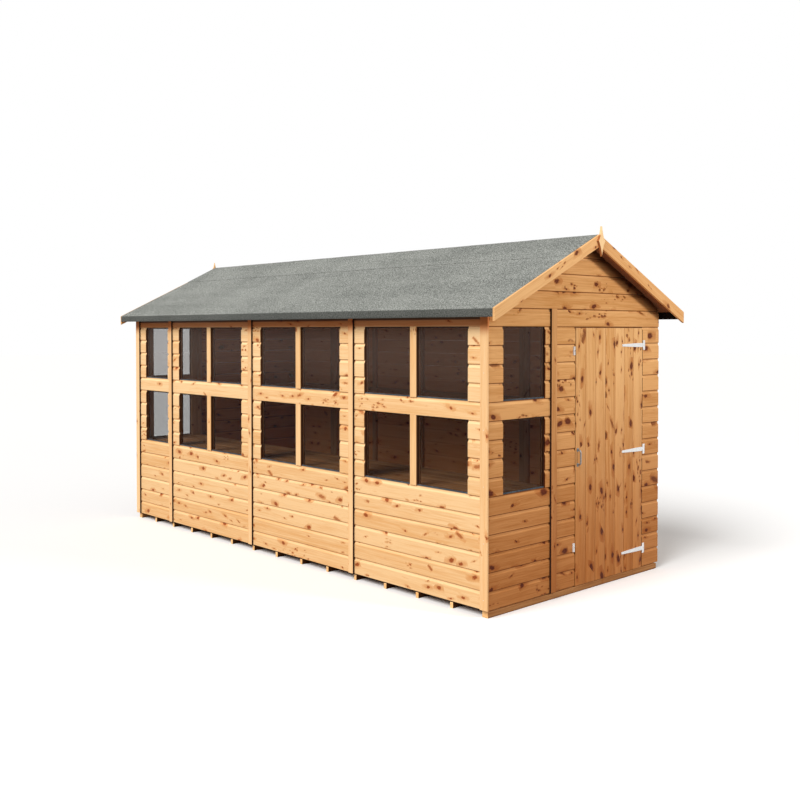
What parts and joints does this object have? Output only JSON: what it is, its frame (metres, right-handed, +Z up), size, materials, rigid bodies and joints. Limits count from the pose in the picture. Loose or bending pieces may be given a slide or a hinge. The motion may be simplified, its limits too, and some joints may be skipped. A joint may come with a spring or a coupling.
{
  "type": "garden shed",
  "caption": "Apex garden shed of shiplap panels with a felted roof, double rows of fixed windows along one long side, and a hinged boarded door in the front gable.",
  "frame": {"origin": "on the ground, under the middle of the roof", "axes": "+X right seen from the front, +Y from the door gable to the rear gable, +Z up"},
  "size_m": [1.976, 4.498, 2.323],
  "materials": {
    "side_pine": "planed softwood shiplap, pale honey",
    "gable_pine": "planed softwood shiplap, deeper honey",
    "trim_pine": "planed softwood trim",
    "door_pine": "planed tongue and groove boards",
    "framing_pine": "sawn softwood framing",
    "floor_pine": "planed floor boards",
    "bearer_pine": "sawn treated softwood",
    "bench_pine": "planed softwood boards",
    "roof_boards": "roof boards, underside seen",
    "roof_felt": "mineral roofing felt, grey green",
    "window_glass": "clear horticultural glass",
    "galvanised_steel": "zinc plated steel",
    "grey_steel": "dark grey steel"
  },
  "bodies": {
    "shed": {"floor_bearers": "bearer_pine", "floor_boards": "floor_pine", "left_panel_1": "side_pine", "left_panel_2": "side_pine", "left_panel_3": "side_pine", "left_panel_4": "side_pine", "right_panel_1": "side_pine", "right_panel_2": "side_pine", "right_panel_3": "side_pine", "right_panel_4": "side_pine", "front_window_panel": "gable_pine", "door_post_left": "gable_pine", "door_post_right": "gable_pine", "front_over_door": "gable_pine", "front_gable_top": "gable_pine", "door_frame": "framing_pine", "rear_window_panel": "gable_pine", "rear_plain_panel": "gable_pine", "rear_gable_top": "gable_pine", "corner_trims": "trim_pine", "side_cover_strips": "trim_pine", "gable_cover_strips": "trim_pine", "roof_purlins": "framing_pine", "roof_deck_left": "roof_boards", "roof_deck_right": "roof_boards", "eave_battens": "framing_pine", "roof_felt_left": "roof_felt", "roof_felt_right": "roof_felt", "ridge_felt": "roof_felt", "front_barge_left": "trim_pine", "front_barge_right": "trim_pine", "rear_barge_left": "trim_pine", "rear_barge_right": "trim_pine", "front_finial": "trim_pine", "rear_finial": "trim_pine", "side_window_glass": "window_glass", "gable_window_glass": "window_glass", "bench_top": "bench_pine", "bench_frame": "framing_pine", "hinge_plates": "galvanised_steel", "door_catches": "galvanised_steel"},
    "door": {"door_leaf": "door_pine", "door_ledges": "framing_pine", "hinge_straps": "galvanised_steel", "pull_handle": "grey_steel"}
  },
  "joints": [
    {"name": "door_hinge", "type": "hinge", "parent": "shed", "child": "door", "pos_m": [0.6895, -2.103, 0.866], "axis": [0, 0, 1], "range_deg": [0, 165]}
  ]
}
